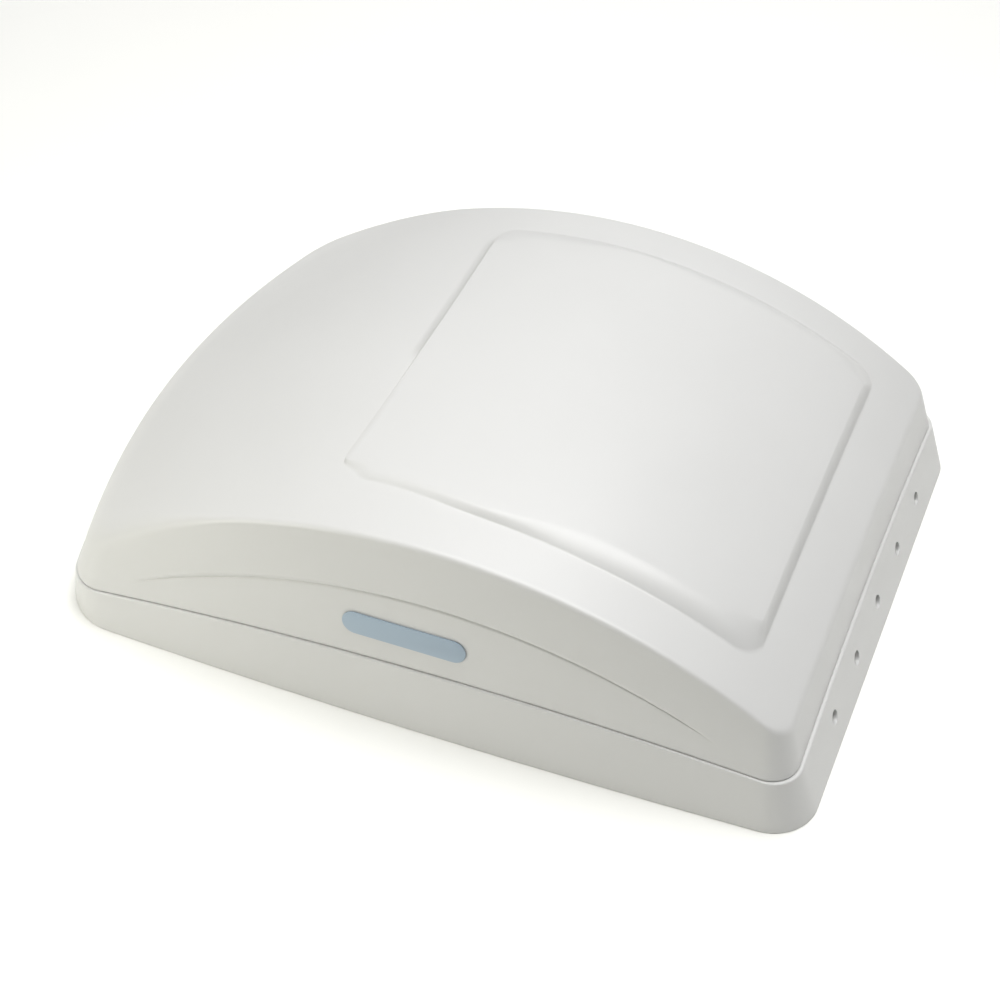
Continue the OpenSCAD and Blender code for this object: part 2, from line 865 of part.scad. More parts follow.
module screen_frame() {
    notch_r = post_r + 2.5;
    color(white)
        translate([0, 0, screen_z])
            linear_extrude(screen_t)
                difference() {
                    intersection() {
                        screen_outline();
                        union() {
                            difference() {
                                screen_outline();
                                throat_square(2 * (screen_half - screen_rim), 10);
                            }
                            mesh_gaps(0);
                        }
                    }
                    around_fan(4, button_r) {
                        circle(notch_r);
                        translate([0, -notch_r])
                            square([20, 2 * notch_r]);
                    }
                    for (at = [worm_at, switch_at])
                        translate(at)
                            circle(screen_corner_r);
                }
}

module insect_mesh() {
    span = screen_half - screen_rim;
    count = floor(span / mesh_pitch);
    hem = 3;
    color(steel)
        translate([0, 0, screen_z + 1])
            linear_extrude(mesh_wire) {
                difference() {
                    translate([fan_x, 0])
                        for (k = [-count : count], a = [0, 90])
                            rotate(a)
                                translate([k * mesh_pitch - mesh_wire / 2, -span])
                                    square([mesh_wire, 2 * span]);
                    mesh_gaps(0);
                }
                difference() {
                    throat_square(2 * span, 10);
                    difference() {
                        throat_square(2 * (span - hem), 10);
                        mesh_gaps(hem);
                    }
                    mesh_gaps(0);
                }
            }
}

// Where the knobs and the turn buttons interrupt the mesh
module mesh_gaps(grow) {
    for (at = [worm_at, switch_at])
        translate(at)
            circle(screen_corner_r + knob_rim + grow);
    around_fan(4, button_r)
        circle(notch_pad_r + grow);
}

knob_z = [4, 13];
speed_knob_r = 15;
speed_grip = [5, 3];
speed_spindle_r = 3;
spindle_top = 28.5;

module switch_housing() {
    size = [32, 30, 16];
    color(dark)
        difference() {
            translate([switch_at[0] - size[0] / 2, switch_at[1] - size[1] / 2, deck_top])
                cube(size);
            translate([switch_at[0], switch_at[1], deck_top - 1])
                cylinder(h = spindle_top - deck_top + 2, r = speed_spindle_r + running);
        }
}

module speed_knob() {
    color(dark)
        translate([switch_at[0], switch_at[1], 0]) {
            translate([0, 0, knob_z[0]])
                cylinder(h = knob_z[1] - knob_z[0], r = speed_knob_r);
            translate([-speed_grip[0] / 2, -speed_knob_r, knob_z[0] - speed_grip[1]])
                cube([speed_grip[0], 2 * speed_knob_r, speed_grip[1] + 1]);
            translate([0, 0, knob_z[1] - 1])
                cylinder(h = spindle_top - knob_z[1] + 1, r = speed_spindle_r);
        }
}

// ---- Lid lift and hand crank ----

module lift_shaft() {
    color(steel)
        along_y(lift_at, -arm_y - arm_t - 2, arm_y + arm_t + 2, shaft_r);
}

module lift_arm(side) {
    y0 = side > 0 ? arm_y : -arm_y - arm_t;
    color(white)
        translate([lift_at[0], 0, lift_at[1]])
            rotate([0, -arm_tilt, 0])
                difference() {
                    union() {
                        along_y([0, 0], y0, y0 + arm_t, 11);
                        along_y([link, 0], y0, y0 + arm_t, 8);
                        translate([0, y0 + arm_t, 0])
                            rotate([90, 0, 0])
                                linear_extrude(arm_t)
                                    polygon([[0, -9], [link, -6], [link, 6], [0, 9]]);
                    }
                    along_y([0, 0], y0 - 1, y0 + arm_t + 1, shaft_r + fit);
                    along_y([link, 0], y0 - 1, y0 + arm_t + 1, pin_r + fit);
                }
}

module lift_arm_left() { lift_arm(-1); }

module lift_arm_right() { lift_arm(1); }

module guide_pins() {
    color(steel)
        translate([lift_at[0], 0, lift_at[1]])
            rotate([0, -arm_tilt, 0])
                for (side = [-1, 1])
                    mirror([0, side > 0 ? 0 : 1, 0]) {
                        along_y([link, 0], arm_y - 1.5, track_y + track_t + 1.5, pin_r);
                        along_y([link, 0], arm_y - 3, arm_y, pin_r + 2);
                    }
}

backlash = 0.6;
pressure = 20;
wheel_t = 4;

// Half angle of an involute tooth at radius r
function tooth_half(r) =
    let (
        a = acos(min(1, wheel_pitch_r * cos(pressure) / r)),
        at_pitch = tan(pressure) - pressure * PI / 180,
        at_r = tan(a) - a * PI / 180)
    90 / wheel_teeth + (at_pitch - at_r - backlash / 4 / wheel_pitch_r) * 180 / PI;

module worm_wheel() {
    radii = [
        wheel_pitch_r - 1.25 * gear_module,
        for (k = [-2 : 2]) wheel_pitch_r + k * gear_module / 2 * 0.95];
    tooth = [for (r = radii) [r, tooth_half(r)]];
    color(white)
        translate([lift_at[0], worm_at[1], lift_at[1]])
            rotate([90, 0, 0])
                difference() {
                    union() {
                        translate([0, 0, -wheel_t / 2])
                            linear_extrude(wheel_t)
                                polygon([for (k = [0 : wheel_teeth - 1])
                                    let (mid = 360 * (k + 0.5) / wheel_teeth)
                                    each concat(
                                        [for (p = tooth) p[0] * [cos(mid - p[1]), sin(mid - p[1])]],
                                        [for (i = [len(tooth) - 1 : -1 : 0])
                                            let (p = tooth[i])
                                            p[0] * [cos(mid + p[1]), sin(mid + p[1])]])]);
                        translate([0, 0, -8])
                            cylinder(h = 16, r = 10);
                    }
                    translate([0, 0, -9])
                        cylinder(h = 18, r = shaft_r + fit);
                }
}

thread_steps = 18;
thread_turns = 2.5;
worm_root_r = worm_pitch_r - 1.25 * gear_module;

module worm_thread() {
    half = worm_pitch / 4 - backlash / 4;
    tip_r = worm_pitch_r + 0.95 * gear_module;
    slope = tan(pressure);
    section = [
        [worm_root_r - 0.4, -half - (worm_pitch_r - worm_root_r) * slope],
        [tip_r, -half + (tip_r - worm_pitch_r) * slope],
        [tip_r, half - (tip_r - worm_pitch_r) * slope],
        [worm_root_r - 0.4, half + (worm_pitch_r - worm_root_r) * slope]];
    steps = 2 * thread_turns * thread_steps;
    points = [for (i = [0 : steps], p = section)
        let (turn = i / thread_steps - thread_turns)
        [p[0] * cos(180 + 360 * turn), p[0] * sin(180 + 360 * turn), p[1] + worm_pitch * turn]];
    sides = [for (i = [0 : steps - 1], k = [0 : 3])
        let (a = 4 * i + k, b = 4 * i + (k + 1) % 4)
        each [[a, b, a + 4], [b, b + 4, a + 4]]];
    polyhedron(points, concat(sides, [[3, 2, 1, 0], [for (k = [0 : 3]) 4 * steps + k]]), convexity = 10);
}

module worm_shaft() {
    color(steel)
        translate([worm_at[0], worm_at[1], 0]) {
            translate([0, 0, crank_z[1] + 2.5])
                cylinder(h = worm_top + worm_plate_t + 0.5 - crank_z[1] - 2.5, r = worm_shaft_r);
            translate([0, 0, deck_top + worm_plate_t + 0.3])
                cylinder(h = worm_top - deck_top - worm_plate_t - 0.6, r = worm_root_r);
            translate([0, 0, lift_at[1]])
                worm_thread();
        }
}

crank_knob_r = 13;
crank_lobes = 6;
crank_lobe_r = 4;
crank_z = [1.5, 3, 11.5, 13.5];

module crank_knob() {
    color(grey)
        translate([worm_at[0], worm_at[1], 0])
            difference() {
                union() {
                    translate([0, 0, crank_z[1]])
                        cylinder(h = crank_z[3] - crank_z[1], r = crank_knob_r);
                    for (k = [0 : crank_lobes - 1])
                        rotate(360 * k / crank_lobes)
                            translate([crank_knob_r - 1, 0, crank_z[0]])
                                cylinder(h = crank_z[2] - crank_z[0], r = crank_lobe_r);
                }
                translate([0, 0, crank_z[1] + 2])
                    cylinder(h = crank_z[3], r = worm_shaft_r + fit);
            }
}

// ---- Turn buttons ----

module turn_button(k) {
    color(grey)
        translate([fan_x, 0, 0])
            rotate(90 * k)
                translate([button_r, 0, 0])
                    difference() {
                        union() {
                            translate([0, 0, 2])
                                cylinder(h = button_top_z - 2, r = 6);
                            translate([-22, -4.5, button_top_z - 3])
                                cube([22, 9, 3]);
                            translate([-20, -1.5, 1])
                                cube([22, 3, 4]);
                        }
                        translate([0, 0, button_top_z - 4])
                            cylinder(h = 8, r = spigot_r + running);
                    }
}

module turn_button_1() { turn_button(0); }

module turn_button_2() { turn_button(1); }

module turn_button_3() { turn_button(2); }

module turn_button_4() { turn_button(3); }

lid_shell();
lid_badge();
lid_track_left();
lid_track_right();
hinge_block();
lid_hinge_leaf();
lid_screws();
base_skirt();
base_deck();
roof_flange();
flange_seal();
base_screws();
lid_seal();
hinge_bracket();
hinge_pin();
shaft_bearing_left();
shaft_bearing_right();
worm_bracket();
deck_screws();
fan_duct();
motor_bracket();
bracket_screws();
fan_motor();
motor_screws();
screen_frame();
insect_mesh();
switch_housing();
lift_shaft();
lift_arm_left();
lift_arm_right();
guide_pins();
worm_wheel();
worm_shaft();
crank_knob();
fan_rotor();
motor_shaft();
fan_nut();
turn_button_1();
turn_button_2();
turn_button_3();
turn_button_4();
speed_knob();
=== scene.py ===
"""Looks of a powered roof ventilator with a hinged rain lid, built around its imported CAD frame."""

import json
import math

import bmesh
import bpy
import numpy as np
from mathutils import Matrix, Vector

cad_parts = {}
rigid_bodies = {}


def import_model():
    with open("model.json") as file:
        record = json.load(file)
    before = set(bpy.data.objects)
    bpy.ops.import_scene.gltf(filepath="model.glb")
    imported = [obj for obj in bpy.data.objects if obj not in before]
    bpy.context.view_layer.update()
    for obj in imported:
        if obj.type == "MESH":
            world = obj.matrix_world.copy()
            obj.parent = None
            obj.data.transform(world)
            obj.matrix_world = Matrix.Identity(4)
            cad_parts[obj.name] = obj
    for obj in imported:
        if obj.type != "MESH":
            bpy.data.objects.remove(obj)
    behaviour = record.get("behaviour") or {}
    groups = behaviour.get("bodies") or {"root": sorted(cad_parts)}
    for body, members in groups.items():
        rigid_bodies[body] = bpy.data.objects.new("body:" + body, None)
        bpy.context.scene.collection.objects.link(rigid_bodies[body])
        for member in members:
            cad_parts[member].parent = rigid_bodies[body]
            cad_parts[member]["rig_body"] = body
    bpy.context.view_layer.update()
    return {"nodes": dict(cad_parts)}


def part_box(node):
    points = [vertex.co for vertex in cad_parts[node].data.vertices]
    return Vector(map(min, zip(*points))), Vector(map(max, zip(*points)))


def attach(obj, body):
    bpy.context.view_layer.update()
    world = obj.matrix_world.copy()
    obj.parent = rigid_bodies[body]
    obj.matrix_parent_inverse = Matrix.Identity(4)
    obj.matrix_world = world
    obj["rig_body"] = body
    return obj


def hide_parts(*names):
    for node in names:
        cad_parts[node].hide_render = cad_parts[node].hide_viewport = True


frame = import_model()

MM = 0.001

# ---- Sizes, in metres ----
# The outline is a plain rounded rectangle (u, v) whose sides and nose are bowed; the nose is at -X.
skirt_low, skirt_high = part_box("base_skirt")
NOSE_BOW = 37 * MM
SIDE_BOW = 6 * MM
CORNER_R = 31 * MM
HALF_LENGTH = (skirt_high.x - skirt_low.x - NOSE_BOW) / 2
HALF_WIDTH = skirt_high.y - SIDE_BOW
MIDDLE_X = skirt_high.x - HALF_LENGTH

# Seam between skirt and lid, as heights above the roof
SEAM_NOSE = 26.5 * MM
SEAM_MIDDLE = 49 * MM
SEAM_END = 37 * MM
SEAM_END_RISE = 7 * MM
WALL = 2.4 * MM
DECK_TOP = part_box("base_deck")[1].z
HINGE = (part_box("hinge_pin")[0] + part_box("hinge_pin")[1]) / 2
LID_OPEN = math.radians(12)
LID_GAP = 0.08 * MM

# Insets for the nose, the upright end and the long sides. Those of the skirt count from its outer face at
# the seam, and those of the lid's top from the outline at the roof.
FLARE = np.array([7.4, 16.0, 8.7]) * MM
SHOULDER_CORNER_R = 21 * MM
LEDGE = np.array([1.0, 2.4, 1.6]) * MM
CURB_CLEARANCE = 0.6 * MM
CURB_OUT = LEDGE + WALL + CURB_CLEARANCE
CURB_IN = CURB_OUT + WALL
LID_TOP_IN = np.array([19.6, 23.6, 18.6]) * MM

# Lid
NOSE_LID_CORNER_R = 22 * MM
END_LID_CORNER_R = 16 * MM
CROWN_Z = 152.5 * MM
CROSS_CROWN = 9 * MM
ARCH_R = 405 * MM
SKIN = 1.2 * WALL
CREASE_HALF_WIDTH = HALF_WIDTH - LID_TOP_IN[2]
CREASE_R = 3.9 * MM
CREASE_R_ADDED_AT_NOSE = 10 * MM
CREASE_R_LOST_AT_END = 0.8 * MM
CREASE_SOFTENS = np.array([-120, -240]) * MM
CREASE_SHARPENS = np.array([60, 210]) * MM

# Raised panel on the lid. A pair gives where a change starts and ends, along the length or across it.
PANEL_IN = np.array([188.5, 56.5, 54.5]) * MM
PANEL_CORNER_R = 17 * MM
PANEL_WAIST = 7 * MM
PANEL_WAIST_GROWS = np.array([30, -70]) * MM
PANEL_LOW = 2.5 * MM
PANEL_STEP = 7.5 * MM
PANEL_RISES = np.array([-80, 200]) * MM
PANEL_CENTRE = np.array([60, 0]) * MM
PANEL_FIRST_SHARE = 0.02

# The rounded band round the panel: its widths, and how much of it stays low at the near nose corner
BAND_WIDE = 16.5 * MM
BAND_NARROW = 4.5 * MM
BAND_AT_NOSE = 2.5 * MM
BAND_SIDE_STARTS = np.array([128, 148]) * MM
BAND_NOSE_STARTS = np.array([-40, -65]) * MM
BAND_PINCH = 7.5 * MM
BAND_PINCH_X = 25 * MM
BAND_PINCH_HALF_LENGTH = 45 * MM
BAND_ROUNDNESS = 1.9
BAND_LOW_SHARE = 0.62
BAND_LOW_RISE = 0.12
BAND_LOW_ALONG = np.array([110, -80]) * MM
BAND_LOW_ACROSS = np.array([0, -100]) * MM
BAND_AIM = 20 * MM
BAND_INSIDE = 10 * MM

# Groove and shallow recess along a curved line on the lid's long sides
RECESS_TOP = 106.5 * MM
RECESS_X = 22 * MM
RECESS_BEND = 1.19
RECESS_DEPTH = 0.6 * MM
RECESS_STEP = 0.6 * MM
RECESS_RETURN = 26 * MM
RECESS_HALF_LENGTH = 215 * MM
RECESS_FADE = 40 * MM
RECESS_SIDE_STARTS = np.array([150, 175]) * MM
RECESS_LINE_SHARES = (0.12, 0.8)
GROOVE_DEPTH = 0.7 * MM
LID_EDGE_R = 0.9 * MM

# How finely the shells are divided
SIDE_STEPS = 120
END_STEPS = 84
CORNER_STEPS = 18


# ---- Shape of the shells ----
def smooth(t):
    """Goes from 0 to 1 and is level at both ends."""
    t = np.clip(t, 0, 1)
    return t * t * (3 - 2 * t)


def ramp(value, start, end):
    """Goes smoothly from 0 at start to 1 at end; end may be the smaller one."""
    return smooth((value - start) / (end - start))


def blend(first, second, share):
    """First where the share is 0, second where it is 1."""
    return first + (second - first) * share


def curve(start, corner, end, shares):
    """Rings that round off a corner between two rings."""
    return [(1 - t) ** 2 * start + 2 * t * (1 - t) * corner + t**2 * end for t in shares]


def placed(flat):
    """Places points of the plain rounded rectangle on the bowed outline."""
    u, v = flat[:, 0], flat[:, 1]
    nose = np.minimum(u, 0) / HALF_LENGTH
    x = MIDDLE_X + u - NOSE_BOW * nose**2 * (1 - (v / HALF_WIDTH) ** 2)
    y = v * (1 + SIDE_BOW / HALF_WIDTH * (1 - (u / HALF_LENGTH) ** 2))
    return np.stack([x, y], axis=1)


def arc(centre, radius, start):
    angles = np.radians(start + 90 * np.linspace(0, 1, CORNER_STEPS + 1))
    return np.array(centre) + radius * np.stack([np.cos(angles), np.sin(angles)], axis=1)


def between(first, last, steps):
    inner = np.linspace(0, 1, steps + 1)[1:-1, None]
    return np.array(first) * (1 - inner) + np.array(last) * inner


def ring(insets, nose_r, end_radius=None):
    """Rounded rectangle, set in from the nose, the upright end and the long sides."""
    nose_in, end_in, side_in = np.broadcast_to(insets, 3)
    end_r = end_radius or nose_r
    low, high, half = nose_in - HALF_LENGTH, HALF_LENGTH - end_in, HALF_WIDTH - side_in
    left, right = low + nose_r, high - end_r
    return np.concatenate([
        arc((right, end_r - half), end_r, -90),
        between((high, end_r - half), (high, half - end_r), END_STEPS),
        arc((right, half - end_r), end_r, 0),
        between((right, half), (left, half), SIDE_STEPS),
        arc((left, half - nose_r), nose_r, 90),
        between((low, half - nose_r), (low, nose_r - half), END_STEPS),
        arc((left, nose_r - half), nose_r, 180),
        between((left, -half), (right, -half), SIDE_STEPS)])


def outline(inset):
    return ring(inset, CORNER_R - inset / 2)


def seam_z(flat):
    """Height of the arched seam; it lifts a little at the middle of the upright end."""
    t = flat[:, 0] / HALF_LENGTH
    ends = (SEAM_NOSE + SEAM_END) / 2
    rise = SEAM_END_RISE * np.maximum(t, 0) ** 6 * (1 - (flat[:, 1] / HALF_WIDTH) ** 2)
    return ends + (SEAM_END - SEAM_NOSE) / 2 * t + (SEAM_MIDDLE - ends) * (1 - t**2) + rise


SEAM = seam_z(outline(0.0))


def seam_ring(insets):
    """Ring on the skirt's leaning wall at the seam, set in further by the given insets."""
    cut_back = np.max(insets) / 2
    low = ring(insets, CORNER_R - cut_back)
    high = ring(FLARE + insets, SHOULDER_CORNER_R - cut_back)
    return blend(low, high, (SEAM / SEAM_MIDDLE)[:, None])


def at_seam(insets, drop=0.0):
    """Ring in space that follows the seam, lowered by drop."""
    return at_heights(seam_ring(insets), SEAM - drop)


def edge_gap(flat):
    """Height of the lid's edge above the ledge: the nose swings down behind the hinge."""
    return LID_GAP + np.maximum(0, HINGE.x - placed(flat)[:, 0]) * math.tan(LID_OPEN)


def crown_z(flat):
    """Height of the lid's top: an arch along the length and a slight crown across."""
    arch = CROWN_Z - ARCH_R + np.sqrt(ARCH_R**2 - flat[:, 0] ** 2)
    return arch + CROSS_CROWN * (1 - (flat[:, 1] / CREASE_HALF_WIDTH) ** 2)


def lid_ring(extra=0.0):
    """Where the lid's top meets its wall, set in further by extra."""
    return ring(LID_TOP_IN + extra, NOSE_LID_CORNER_R - extra / 2, END_LID_CORNER_R - extra / 2)


def crease_radius(flat):
    """The edge between the lid's top and wall is crisp at the upright end and soft at the nose."""
    soft = ramp(flat[:, 0], *CREASE_SOFTENS)
    crisp = ramp(flat[:, 0], *CREASE_SHARPENS)
    return CREASE_R + CREASE_R_ADDED_AT_NOSE * soft - CREASE_R_LOST_AT_END * crisp


def at_heights(flat, z):
    """Ring in space over the bowed outline."""
    return np.column_stack([placed(flat), np.broadcast_to(z, len(flat))])


def grade(first, last, steps):
    """Evenly spread shares from first to last."""
    return np.linspace(first, last, steps + 1)


# ---- Meshes ----
def mesh_object(name, points, faces):
    mesh = bpy.data.meshes.new(name)
    mesh.from_pydata([tuple(p) for p in points], [], faces)
    mesh.validate()
    work = bmesh.new()
    work.from_mesh(mesh)
    bmesh.ops.recalc_face_normals(work, faces=work.faces)
    work.to_mesh(mesh)
    work.free()
    mesh.shade_smooth()
    piece = bpy.data.objects.new(name, mesh)
    bpy.context.scene.collection.objects.link(piece)
    return piece


def ring_faces(count, rings, closed):
    """Faces between rings of count points. A closed loop also joins the last ring to the first."""
    faces = []
    for k in range(rings if closed else rings - 1):
        a, b = k * count, (k + 1) % rings * count
        faces += [(a + i, a + (i + 1) % count, b + (i + 1) % count, b + i) for i in range(count)]
    return faces


def loop_object(name, rings):
    """Solid swept round by rings, as a picture frame is."""
    return mesh_object(name, np.concatenate(rings), ring_faces(len(rings[0]), len(rings), True))


def dome_object(name, rings):
    """Solid whose first and last rings are closed by one point each."""
    count = len(rings[0])
    points = np.concatenate(rings + [rings[0].mean(axis=0)[None], rings[-1].mean(axis=0)[None]])
    first, last, end = len(points) - 2, len(points) - 1, count * (len(rings) - 1)
    faces = ring_faces(count, len(rings), False)
    faces += [(first, (i + 1) % count, i) for i in range(count)]
    faces += [(last, end + i, end + (i + 1) % count) for i in range(count)]
    return mesh_object(name, points, faces)


def sharpen(piece, degrees=35):
    piece.data.shade_smooth()
    piece.data.set_sharp_from_angle(angle=math.radians(degrees))


def cut(piece, cutters):
    """Takes the cutters out of the piece and removes them."""
    for cutter in cutters:
        change = piece.modifiers.new("cut", "BOOLEAN")
        change.object = cutter
        change.solver = "EXACT"
    apply_modifiers(piece)
    for cutter in cutters:
        bpy.data.objects.remove(cutter)


def apply_modifiers(piece):
    """Gives the piece the mesh that its modifiers make."""
    bpy.context.view_layer.update()
    evaluated = piece.evaluated_get(bpy.context.evaluated_depsgraph_get())
    finished = bpy.data.meshes.new_from_object(evaluated)
    finished.name = piece.name
    piece.modifiers.clear()
    piece.data = finished


def finished_piece(piece, slot_name, *replaced):
    """Gives a new piece its finish, its body and the CAD nodes that it stands for."""
    piece.data.materials.clear()
    piece.data.materials.append(finishes[slot_name])
    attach(piece, frame["nodes"][replaced[0]]["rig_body"])
    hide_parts(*replaced)


# ---- Materials ----
class Shader:
    """Small helper that builds one material's nodes."""

    def __init__(self, name):
        self.material = bpy.data.materials.new(name)
        self.material.use_nodes = True
        self.tree = self.material.node_tree
        self.surface = self.tree.nodes["Principled BSDF"]
        self.place = self.add("ShaderNodeTexCoord").outputs["Object"]

    def add(self, kind, inputs=None, **settings):
        made = self.tree.nodes.new(kind)
        for key, value in settings.items():
            setattr(made, key, value)
        for key, value in (inputs or {}).items():
            if isinstance(value, bpy.types.NodeSocket):
                self.tree.links.new(value, made.inputs[key])
            else:
                made.inputs[key].default_value = value
        return made

    def noise(self, scale, detail=3.0, stretch=None):
        place = self.place
        if stretch:
            place = self.add("ShaderNodeMapping", {"Vector": place, "Scale": stretch}).outputs["Vector"]
        made = self.add("ShaderNodeTexNoise", {"Vector": place, "Scale": scale, "Detail": detail})
        return made.outputs["Fac"]

    def ranged(self, value, low, high, start=0.3, end=0.7):
        made = self.add("ShaderNodeMapRange", {"Value": value, "From Min": start, "From Max": end,
                                               "To Min": low, "To Max": high})
        return made.outputs["Result"]

    def mixed(self, share, first, second):
        """Mixes two colours; a colour mix has its factor at 0, its colours at 6 and 7 and its result at 2."""
        made = self.add("ShaderNodeMix", data_type="RGBA")
        for key, value in ((0, share), (6, first), (7, second)):
            if isinstance(value, bpy.types.NodeSocket):
                self.tree.links.new(value, made.inputs[key])
            else:
                made.inputs[key].default_value = value
        return made.outputs[2]

    def send(self, value, socket):
        self.tree.links.new(value, self.surface.inputs[socket])


def shade(colour, factor):
    """The colour made darker or lighter, with full cover."""
    return (*[min(1.0, part * factor) for part in colour], 1.0)


GLOSS_SPREAD = 0.05


def material(name, colour, roughness, metallic=0.0, cloud=0.03, wear=0.05, grain=1500.0, depth=0.02,
             stretch=None):
    """A moulded, painted or metal surface: clouded colour, worn edges, painted shade in hollows, uneven gloss
    and a fine grain.
    """
    made = Shader(name)
    clouds = made.ranged(made.noise(9.0, detail=4.0), 0.0, 1.0)
    body = made.mixed(clouds, shade(colour, 1 - cloud), shade(colour, 1 + cloud / 2))
    edges = made.add("ShaderNodeNewGeometry").outputs["Pointiness"]
    worn = made.ranged(edges, 0.0, wear, start=0.52, end=0.62)
    body = made.mixed(worn, body, shade(colour, 1.25))
    # Painted shade: hollows, where pointiness is low, are darkened towards 0.8 of the colour, standing in for
    # the shade that falls there.
    painted_hollow_shade = made.ranged(edges, 0.35, 0.0, start=0.40, end=0.485)
    made.send(made.mixed(painted_hollow_shade, body, shade(colour, 0.8)), "Base Color")
    fine = made.noise(grain, detail=2.0, stretch=stretch)
    broad = made.noise(40.0, detail=3.0)
    gloss = made.add("ShaderNodeMath", {0: fine, 1: broad}, operation="ADD").outputs["Value"]
    made.send(made.ranged(gloss, roughness - GLOSS_SPREAD, roughness + GLOSS_SPREAD, 0.7, 1.3), "Roughness")
    bump = made.add("ShaderNodeBump", {"Height": fine, "Strength": 1.0, "Distance": depth * MM})
    made.send(bump.outputs["Normal"], "Normal")
    made.surface.inputs["Metallic"].default_value = metallic
    return made.material


finishes = {
    "shell_white": material("shell_white", (0.655, 0.655, 0.644), 0.36, cloud=0.012, wear=0.04, depth=0.004),
    "moulded_white": material("moulded_white", (0.74, 0.74, 0.70), 0.5, cloud=0.03, depth=0.012),
    "wheel_white": material("wheel_white", (0.72, 0.68, 0.56), 0.38, cloud=0.04, depth=0.006),
    "badge_grey": material("badge_grey", (0.36, 0.45, 0.54), 0.35, cloud=0.03, depth=0.004),
    "black_plastic": material("black_plastic", (0.022, 0.022, 0.024), 0.45, cloud=0.15, depth=0.02),
    "grey_plastic": material("grey_plastic", (0.20, 0.21, 0.22), 0.45, cloud=0.08, depth=0.02),
    "seal_rubber": material("seal_rubber", (0.025, 0.025, 0.026), 0.8, cloud=0.2, grain=700.0, depth=0.1),
    "lip_rubber": material("lip_rubber", (0.17, 0.17, 0.165), 0.65, cloud=0.1, grain=900.0, depth=0.03),
    "galvanised": material("galvanised", (0.55, 0.57, 0.59), 0.42, metallic=1.0, cloud=0.18, depth=0.01),
    "bracket_paint": material("bracket_paint", (0.25, 0.26, 0.27), 0.5, cloud=0.08, depth=0.03),
    "motor_black": material("motor_black", (0.025, 0.025, 0.028), 0.35, cloud=0.15, depth=0.02),
    "screw_steel": material("screw_steel", (0.6, 0.6, 0.59), 0.3, metallic=1.0, cloud=0.1, wear=0.3,
                            depth=0.01),
    "shaft_steel": material("shaft_steel", (0.58, 0.58, 0.59), 0.25, metallic=1.0, cloud=0.08, wear=0.2,
                            depth=0.008, stretch=(1.0, 0.04, 1.0)),
    "mesh_wire": material("mesh_wire", (0.5, 0.51, 0.52), 0.4, metallic=1.0, cloud=0.1, depth=0.01),
}


# ---- Lid shell ----
def panel_rise(flat):
    """The raised panel is lower towards the nose."""
    return blend(PANEL_LOW, PANEL_STEP, ramp(flat[:, 0], *PANEL_RISES))


def panel_outline(extra=0.0):
    """Foot of the raised panel. Its edge towards the nose curves in a little at its middle."""
    flat = ring(PANEL_IN + extra, PANEL_CORNER_R)
    toward_nose = ramp(flat[:, 0], *PANEL_WAIST_GROWS)
    across = 1 - (flat[:, 1] / (HALF_WIDTH - PANEL_IN[2])) ** 2
    flat[:, 0] += PANEL_WAIST * toward_nose * across
    return flat


def band_width(flat):
    """Wide on the long sides, with a pinch at their middle, and narrow at the nose and the upright end."""
    side = ramp(np.abs(flat[:, 1]), *BAND_SIDE_STARTS)
    middle = np.exp(-((flat[:, 0] - BAND_PINCH_X) / BAND_PINCH_HALF_LENGTH) ** 2)
    nose = ramp(flat[:, 0], *BAND_NOSE_STARTS)
    on_side = BAND_WIDE - BAND_PINCH * middle
    return blend(blend(BAND_NARROW, on_side, side), blend(BAND_AT_NOSE, BAND_WIDE, side), nose)


def band_profile(flat, share):
    """Share of the panel's rise: rounded over, but steepest near the top at the near nose corner."""
    near_nose = ramp(flat[:, 0], *BAND_LOW_ALONG) * ramp(flat[:, 1], *BAND_LOW_ACROSS)
    start = BAND_LOW_SHARE * near_nose
    steep = np.clip((share - start) / (1 - start), 0, 1)
    return blend(1 - (1 - steep) ** BAND_ROUNDNESS, share, BAND_LOW_RISE * near_nose)


def panel_band(share):
    """A ring of the band, flat and in place: 0 is the foot and 1 is where it meets the panel's top."""
    foot = panel_outline()
    reach = (band_width(foot) / BAND_AIM)[:, None]
    flat = blend(foot, panel_outline(BAND_AIM), reach * share)
    rise = panel_rise(foot) * band_profile(foot, share)
    return flat, at_heights(flat, crown_z(flat) + rise)


def crease(edge):
    """Start, corner and end of the rounding between the lid's top and wall, and the wall's lower edge."""
    corner = at_heights(edge, crown_z(edge))
    bottom_flat = seam_ring(LEDGE)
    bottom = at_heights(bottom_flat, SEAM + edge_gap(bottom_flat))
    down = bottom - corner
    radius = crease_radius(edge)[:, None]
    below = corner + down * radius / np.linalg.norm(down, axis=1)[:, None]
    inner = edge - edge_normals(edge)[:, :2] * radius
    return inner, corner, below, bottom


def on_crown(flat, above=0.0):
    """Ring in space that follows the lid's top, raised by above."""
    return at_heights(flat, crown_z(flat) + above)


def lid_shell():
    """Rings from the middle of the panel out over the crease, down the wall and back inside."""
    rings = []
    top = panel_band(1.0)[0]
    for share in grade(PANEL_FIRST_SHARE, 1.0, 30)[:-1]:
        flat = blend(PANEL_CENTRE, top, share)
        rings.append(on_crown(flat, panel_rise(flat)))
    for share in grade(1.0, 0.0, 20):
        rings.append(panel_band(share)[1])
    foot = panel_outline()
    inner, corner, below, bottom = crease(lid_ring())
    for share in grade(0.0, 1.0, 26)[1:]:
        rings.append(on_crown(blend(foot, inner, share)))
    rings += curve(rings[-1], corner, below, grade(0.0, 1.0, 12)[1:])
    rings += wall_rings(below, bottom)
    rings += lid_inside()
    return dome_object("lid_shell_skin", rings)


